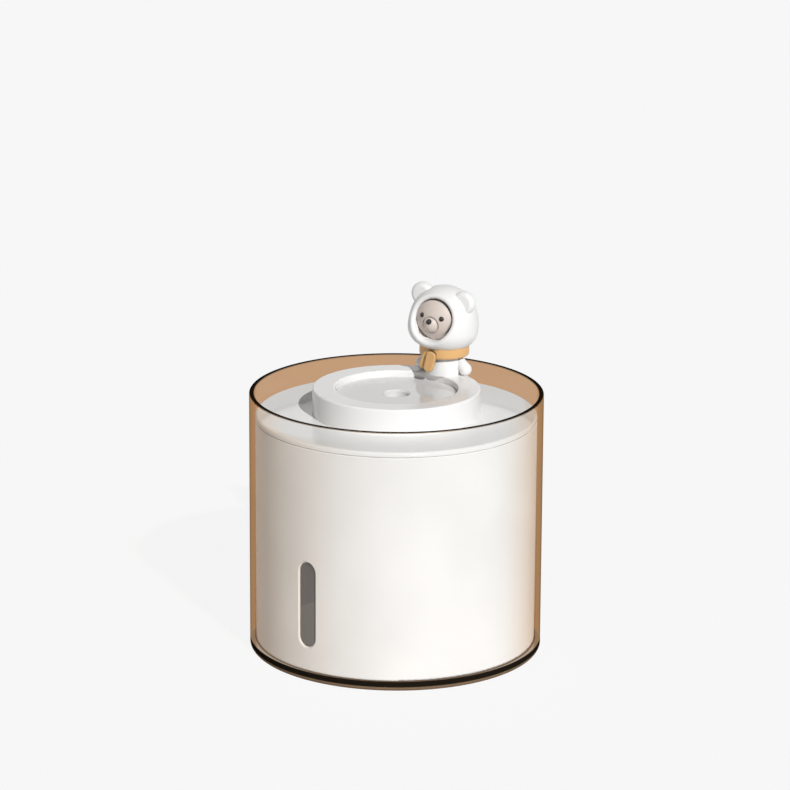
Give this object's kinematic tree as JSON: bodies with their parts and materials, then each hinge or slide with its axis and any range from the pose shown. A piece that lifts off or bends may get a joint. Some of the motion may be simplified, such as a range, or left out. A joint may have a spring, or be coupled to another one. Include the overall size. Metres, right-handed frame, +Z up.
{
  "type": "cool mist humidifier",
  "caption": "Round desktop cool mist humidifier: white water tank in a clear amber cup, with a lift-off mist lid, wick tube, level window and bear ornament.",
  "frame": {"origin": "centre of the base, on the plane of the feet's undersides", "axes": "+Z up along the axis of the cups, -Y towards the front, with the level window at the front left (-X)"},
  "size_m": [0.14, 0.14, 0.1726],
  "materials": {
    "amber_plastic": "polished transparent",
    "white_plastic": "polished",
    "smoked_plastic": "polished transparent",
    "foot_rubber": "matte",
    "seal_rubber": "matte",
    "steel": "bright",
    "piezo_ceramic": "fired",
    "board_green": "solder mask",
    "chip_black": "moulded",
    "light_clear": "clear",
    "tube_white": "moulded",
    "wick_fibre": "felted fibre",
    "figure_white": "satin moulded",
    "figure_beige": "satin painted",
    "bead_black": "polished",
    "scarf_tan": "satin painted"
  },
  "bodies": {
    "cup": {"outer_shell": "amber_plastic", "feet": "foot_rubber", "tank_screws": "steel", "water_tank": "white_plastic", "level_window": "smoked_plastic", "window_seal": "seal_rubber"},
    "button": {"switch_plunger": "chip_black", "power_button": "white_plastic"},
    "wick_holder": {"wick_tube": "tube_white", "wick_cap": "tube_white", "wick_spring": "steel"},
    "wick": {"wick": "wick_fibre"},
    "lid": {"lid_plate": "white_plastic", "lid_seal": "seal_rubber", "mist_ring": "white_plastic", "mist_dish": "white_plastic", "atomiser_seal": "seal_rubber", "mesh_plate": "steel", "piezo_ring": "piezo_ceramic", "control_board": "board_green", "board_parts": "chip_black", "board_screws": "steel", "ring_screws": "steel", "bear_screws": "steel", "usb_shell": "steel", "usb_tongue": "chip_black", "switch_body": "chip_black", "status_light": "light_clear", "bear_body": "figure_white", "bear_arms": "figure_white", "bear_hood": "figure_white", "bear_ears": "figure_white", "bear_face": "figure_beige", "bear_eyes": "bead_black", "bear_nose": "bead_black", "bear_scarf": "scarf_tan", "scarf_tails": "scarf_tan"}
  },
  "joints": [
    {"name": "lid_lift", "type": "slide", "parent": "cup", "child": "lid", "axis": [0, 0, 1], "range_m": [0, 0.12]},
    {"name": "button_press", "type": "slide", "parent": "lid", "child": "button", "axis": [0.866, -0.5, 0], "range_m": [0, 0.0005], "stiffness_N_per_m": 800, "springref_m": -0.0004},
    {"name": "tube_twist", "type": "hinge", "parent": "lid", "child": "wick_holder", "pos_m": [0, 0, 0.107], "axis": [0, 0, 1], "range_deg": [0, 40]},
    {"name": "wick_float", "type": "slide", "parent": "wick_holder", "child": "wick", "axis": [0, 0, 1], "range_m": [-0.002, 0], "stiffness_N_per_m": 60, "springref_m": 0.004, "deforming": ["wick_spring"]}
  ]
}
